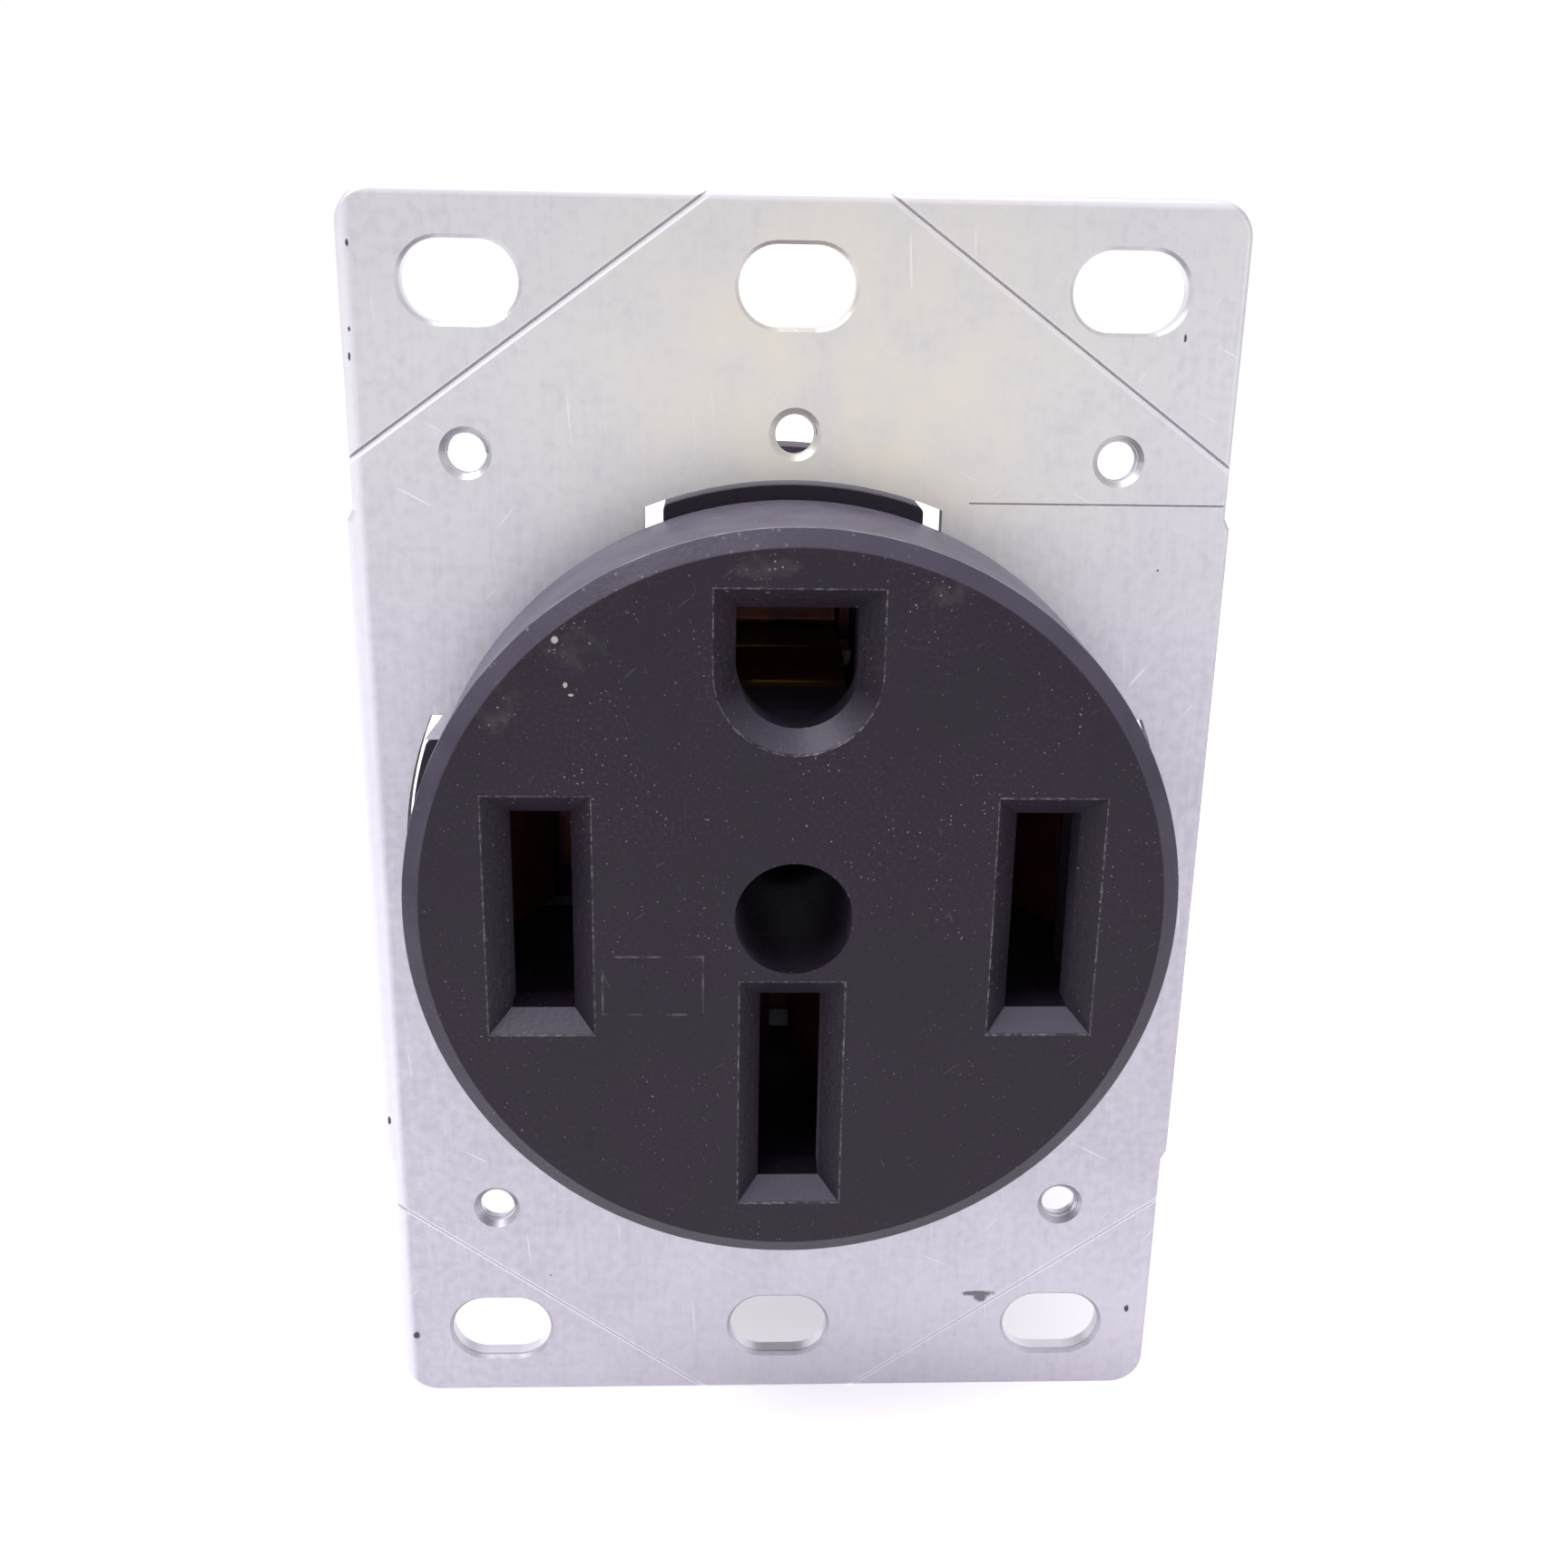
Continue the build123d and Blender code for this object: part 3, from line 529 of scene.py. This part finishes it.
coated = add(thread_tree, "GeometryNodeSetMaterial", {
    "Geometry": real.outputs[0], "Material": strap_zinc})
add(thread_tree, "NodeGroupOutput", {"Threads": coated.outputs[0]})


def grow(name, points, tree, values):
    """Plain mesh of what a geometry tree makes on some points, with its sizes set."""
    seed = bpy.data.meshes.new(name + "_points")
    seed.from_pydata(points, [], [])
    stem = bpy.data.objects.new(name + "_points", seed)
    bpy.context.collection.objects.link(stem)
    maker = stem.modifiers.new(name, "NODES")
    maker.node_group = tree
    for socket, value in values:
        maker[socket.identifier] = value
    grown = stem.evaluated_get(bpy.context.evaluated_depsgraph_get())
    shape = bpy.data.meshes.new_from_object(grown)
    bpy.data.objects.remove(stem)
    shape.name = name
    piece = bpy.data.objects.new(name, shape)
    bpy.context.collection.objects.link(piece)
    return piece


threads = grow("tapped_threads", tapped, thread_tree, (
    (inputs["Radius"], hole_radius),
    (inputs["Height"], THREAD_TURNS * THREAD_PITCH),
    (inputs["Turns"], THREAD_TURNS),
    (inputs["Depth"], THREAD_DEPTH)))
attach(threads, "root")


# Front cover
# The round face of the same thermoset as the housing, handled and dusty, with the edges of its
# slots rubbed pale, hairline scratches and a few grains and smudges of dust. Its bevel and side
# wall are painted lighter where light falls, its funnel ledges partly so, and scrapes show only
# where lit.

FACE_DEPTH = -0.0118
FACE_SKIN = (0.00012, 0.00004)
LINE_OFFSET = 0.017575
NEUTRAL_HEIGHT = -0.0136
GROUND_HEIGHT = 0.01745
LONG_MOUTH = (0.003725, 0.00885)
GROUND_MOUTH_HALF = 0.00565
RUB_WIDTH = 0.00007
RUB_SHAKE = 0.00005
STAMP_MIDDLE = (-0.00977, -0.00503)
STAMP_HALF = (0.0035, 0.0022)
STAMP_LINE = (0.00010, 0.00004)
FACE_LINES = ((3600, 20, 0.12, 0.770), (3200, -52, 0.10, 0.770))
FACE_LINE_SHARE = 0.16
RUBBED_COLOUR = (0.20, 0.19, 0.21, 1)
BEVEL_RADIUS = 0.02575
BEVEL_BLEND = 0.00008
BEVEL_LIGHT_HEIGHTS = (-0.022, 0.018)
LIT_BEVEL_COLOUR = (0.074, 0.062, 0.092, 1)
RIM_RADIUS = 0.0270
RIM_BLEND = 0.00006
RIM_DEPTH = -0.0110
RIM_LINE = (0.00022, 0.00005)
RIM_COLOUR = (0.40, 0.38, 0.44, 1)
LIT_SIDE_COLOUR = (0.140, 0.126, 0.168, 1)
LIT_SIDE = (-0.5, 0.0, 0.85)
SCRAPES = (1900, 0.30, 0.6)
WELL_RADII = (0.0050, 0.0060)
FUNNEL_BOTTOM = -0.0103
LEDGE_SIDES = (-0.020, 0.018)
LEDGE_DUST_AND_LIGHT = (0.085, 0.076, 0.104, 1)
GRAINS = (
    (-0.01597, 0.01962, 0.00026, 0.00026),
    (-0.01535, 0.01660, 0.00015, 0.00020),
    (-0.01498, 0.01590, 0.00020, 0.00010),
)
GRAIN_COLOUR = (0.52, 0.50, 0.44, 1)
SMUDGES = (
    (0.00942, 0.02309, 0.0016, 0.0012),
    (-0.00223, 0.02452, 0.0024, 0.0009),
    (-0.01450, 0.01900, 0.0022, 0.0016),
    (-0.02000, 0.01600, 0.0016, 0.0030),
)
SMUDGE_CRUMBS = (2300, 0.22, 0.5)
SMUDGE_SHARE = 0.45
BLOT = ((-0.01438, -0.01720, 0.0004, 0.0009),)
BLOT_COLOUR = (0.002, 0.002, 0.002, 1)


def mouth_edge(tree, x, z, middle, half):
    """Distance from the outline of a rectangle."""
    across = reckon(tree, "SUBTRACT", apart(tree, x, middle[0]), half[0])
    along = reckon(tree, "SUBTRACT", apart(tree, z, middle[1]), half[1])
    return reckon(tree, "ABSOLUTE", most(tree, across, along))


def ground_edge(tree, x, z):
    """Distance from the outline of the ground slot: flat above, a half circle below."""
    below = reckon(tree, "MINIMUM", reckon(tree, "SUBTRACT", z, GROUND_HEIGHT), 0.0)
    spread = add(tree, "ShaderNodeCombineXYZ", {0: x, 1: below}).outputs[0]
    length = measure(tree, "LENGTH", spread)
    round_part = reckon(tree, "SUBTRACT", length, GROUND_MOUTH_HALF)
    flat_part = reckon(tree, "SUBTRACT", z, GROUND_HEIGHT + GROUND_MOUTH_HALF)
    return reckon(tree, "ABSOLUTE", most(tree, round_part, flat_part))


cover_skin, tree, shader, place, colour = moulded_base("cover_skin", 1.0)
x, depth, z = split(tree, place)
on_face = grade(tree, depth, FACE_DEPTH + FACE_SKIN[0], FACE_DEPTH + FACE_SKIN[1])

nearest = ground_edge(tree, x, z)
for middle in ((-LINE_OFFSET, 0.0), (LINE_OFFSET, 0.0), (0.0, NEUTRAL_HEIGHT)):
    edge = mouth_edge(tree, x, z, middle, LONG_MOUTH)
    nearest = reckon(tree, "MINIMUM", nearest, edge)
shake = grade(tree, clouds(tree, place, 2600, 5), 0.30, 0.70, -RUB_SHAKE, RUB_SHAKE)
line = grade(tree, reckon(tree, "ADD", nearest, shake), RUB_WIDTH, RUB_WIDTH * 0.3)
broken = grade(tree, clouds(tree, place, 2200, 4), 0.36, 0.60)
broken = times(tree, broken, grade(tree, clouds(tree, place, 260, 3), 0.30, 0.62, 0.30, 1.0))
rubbed = times(tree, times(tree, line, broken), on_face)
stamp = grade(tree, mouth_edge(tree, x, z, STAMP_MIDDLE, STAMP_HALF), *STAMP_LINE)
stamp = times(tree, stamp, grade(tree, clouds(tree, place, 700, 3), 0.50, 0.62, 0.0, 0.45))
rubbed = most(tree, rubbed, times(tree, stamp, on_face))
lines = times(tree, scratches(tree, place, FACE_LINES), FACE_LINE_SHARE)
colour = blend(tree, most(tree, rubbed, lines), colour, RUBBED_COLOUR)

flat = add(tree, "ShaderNodeCombineXYZ", {0: x, 1: z}).outputs[0]
radius = measure(tree, "LENGTH", flat)
normal = place.node.outputs["Normal"]
lit = measure(tree, "DOT_PRODUCT", normal, LIT_SIDE)
scuffs = grade(tree, clouds(tree, place, 260, 5), 0.32, 0.62, 0.55, 1.0)

# Upward faces of the slot funnels lighter, more on the right: partly dust lying there, partly
# painted light from above.
in_funnel = reckon(tree, "LESS_THAN", depth, FUNNEL_BOTTOM)
in_funnel = times(tree, reckon(tree, "SUBTRACT", 1.0, on_face), in_funnel)
in_funnel = times(tree, in_funnel, grade(tree, x, *LEDGE_SIDES, 0.65, 1.1))
in_funnel = times(tree, in_funnel, grade(tree, radius, *WELL_RADII))
ledge_dust_and_light = times(tree, grade(tree, split(tree, normal)[2], 0.20, 0.75), in_funnel)
colour = blend(tree, ledge_dust_and_light, colour, LEDGE_DUST_AND_LIGHT)

# Painted light: the face's bevel lighter towards the top, where light from above falls.
lit_bevel = grade(tree, radius, BEVEL_RADIUS, BEVEL_RADIUS + BEVEL_BLEND)
lit_bevel = times(tree, lit_bevel, grade(tree, z, *BEVEL_LIGHT_HEIGHTS, 0.25, 1.0))
colour = blend(tree, times(tree, lit_bevel, scuffs), colour, LIT_BEVEL_COLOUR)
# Painted light: the side wall lighter where it faces the lamp on the upper left.
outside = grade(tree, radius, RIM_RADIUS - RIM_BLEND, RIM_RADIUS)
side_light = times(tree, outside, grade(tree, lit, -0.45, 0.55, 0.2, 1.0))
colour = blend(tree, times(tree, side_light, scuffs), colour, LIT_SIDE_COLOUR)
rim = times(tree, grade(tree, apart(tree, depth, RIM_DEPTH), *RIM_LINE), outside)
rim = times(tree, rim, grade(tree, clouds(tree, place, 500, 4), 0.30, 0.60))
colour = blend(tree, rim, colour, RIM_COLOUR)
# Pale scrapes on the bevel and side wall, kept only where they face the light: partly painted
# highlight.
lit_scrapes = times(tree, specks(tree, place, *SCRAPES), grade(tree, lit, 0.30, 0.75, 0.0, 0.6))
lit_scrapes = times(tree, lit_scrapes, grade(tree, clouds(tree, place, 330, 4), 0.42, 0.60))
lit_scrapes = times(tree, lit_scrapes, most(tree, lit_bevel, side_light))
colour = blend(tree, lit_scrapes, colour, RIM_COLOUR)

film = grade(tree, clouds(tree, place, 520, 4), 0.42, 0.72, 0.0, 0.16)
crumbs = most(tree, film, specks(tree, place, *SMUDGE_CRUMBS))
smudge = times(tree, times(tree, marks(tree, place, SMUDGES), crumbs), SMUDGE_SHARE)
colour = blend(tree, times(tree, smudge, on_face), colour, GRAIN_COLOUR)
grain = times(tree, marks(tree, place, GRAINS), on_face)
colour = blend(tree, grain, colour, GRAIN_COLOUR)
blot = times(tree, marks(tree, place, BLOT), on_face)
paint(tree, shader, blend(tree, blot, colour, BLOT_COLOUR))
dress("front_cover", cover_skin)


# Assembly screws, centre screw and nut
# Zinc plated steel. Four screws clamp cover, strap and housing from behind, and one goes
# through the middle from the bottom of the well.

FASTENER_SHADE = (0.50, 0.50, 0.55, 1)

screw_zinc = steel_finish("screw_steel", PLATE_COLOUR, FASTENER_SHADE, 0.30)
for node in ("assembly_screws", "centre_screw", "centre_nut"):
    dress(node, screw_zinc)


# Floor, light and camera
# A pale seamless floor under the strap's lower edge, a large soft lamp from above on the left,
# a weaker one on the right, and the camera where the photograph was taken from.

FLOOR_HEIGHT = cad_box[0][2]
FLOOR_REACH = 3.0
FLOOR_COLOUR = (0.86, 0.86, 0.88, 1)
GLOW_COLOUR = (0.97, 0.94, 1.0, 1)
GLOW_RANGE = (0.44, 0.80)
SHADOW_MIDDLE = (0.0, 0.02, 0.0)
SHADOW_REACH = (0.010, 0.045)
WHITE = (1, 1, 1, 1)
AIR_COLOUR = (0.955, 0.925, 1.0, 1)
AIR_LIGHT = 0.50
KEY_PLACE = (-0.22, -0.13, 0.50)
KEY_SIZE = 0.30
KEY_WATTS = 2.2
FILL_PLACE = (0.45, -0.40, 0.15)
FILL_SIZE = 0.40
FILL_WATTS = 0.3
LENS_MM = 37.30
SENSOR_MM = 36.0
CAMERA_CLIP = 0.005
CAMERA_PLACE = (-0.00548, -0.1157, 0.04329)
CAMERA_TURN = (72.167, -0.997, -2.227)


def seen_share(tree, rays):
    """One for what the camera, mirrors and glass show, nothing for light on other things."""
    shown = reckon(tree, "ADD", rays["Is Camera Ray"], rays["Is Glossy Ray"], True)
    return reckon(tree, "ADD", shown, rays["Is Transmission Ray"], True)


bpy.ops.mesh.primitive_plane_add(size=FLOOR_REACH, location=(0, 0, FLOOR_HEIGHT))
floor = bpy.context.object
floor.name = "floor"
floor_paint = bpy.data.materials.new("floor_paint")
floor_paint.use_nodes = True
tree = floor_paint.node_tree
tree.nodes.clear()
matt = add(tree, "ShaderNodeBsdfDiffuse", {"Color": FLOOR_COLOUR})
shown = seen_share(tree, tree.nodes.new("ShaderNodeLightPath").outputs)
# The floor's glow fades around a spot just behind the strap: a painted shadow.
spot = tree.nodes.new("ShaderNodeTexCoord").outputs["Object"]
away = measure(tree, "DISTANCE", spot, SHADOW_MIDDLE)
shown = times(tree, shown, grade(tree, away, *SHADOW_REACH, *GLOW_RANGE))
glow = add(tree, "ShaderNodeEmission", {"Color": GLOW_COLOUR, "Strength": shown})
both = add(tree, "ShaderNodeAddShader", {0: matt.outputs[0], 1: glow.outputs[0]})
add(tree, "ShaderNodeOutputMaterial", {"Surface": both.outputs[0]})
floor.data.materials.append(floor_paint)

world = bpy.data.worlds.new("studio")
bpy.context.scene.world = world
world.use_nodes = True
tree = world.node_tree
air = tree.nodes["Background"]
rays = tree.nodes.new("ShaderNodeLightPath").outputs
tree.links.new(blend(tree, rays["Is Camera Ray"], AIR_COLOUR, WHITE), air.inputs["Color"])
strength = grade(tree, seen_share(tree, rays), 0.0, 1.0, AIR_LIGHT, 1.0)
tree.links.new(strength, air.inputs["Strength"])


def soft_lamp(name, spot, size, watts):
    """Square lamp that faces the middle of the strap."""
    lamp = bpy.data.lights.new(name, "AREA")
    lamp.size = size
    lamp.energy = watts
    holder = bpy.data.objects.new(name, lamp)
    holder.location = spot
    holder.rotation_euler = (-Vector(spot)).to_track_quat("-Z", "Y").to_euler()
    bpy.context.collection.objects.link(holder)


soft_lamp("key", KEY_PLACE, KEY_SIZE, KEY_WATTS)
soft_lamp("fill", FILL_PLACE, FILL_SIZE, FILL_WATTS)

camera = bpy.data.cameras.new("camera")
camera.lens = LENS_MM
camera.sensor_width = SENSOR_MM
camera.clip_start = CAMERA_CLIP
stand = bpy.data.objects.new("camera", camera)
stand.location = CAMERA_PLACE
stand.rotation_euler = [math.radians(turn) for turn in CAMERA_TURN]
bpy.context.collection.objects.link(stand)
bpy.context.scene.camera = stand
bpy.context.scene.view_settings.view_transform = "Standard"
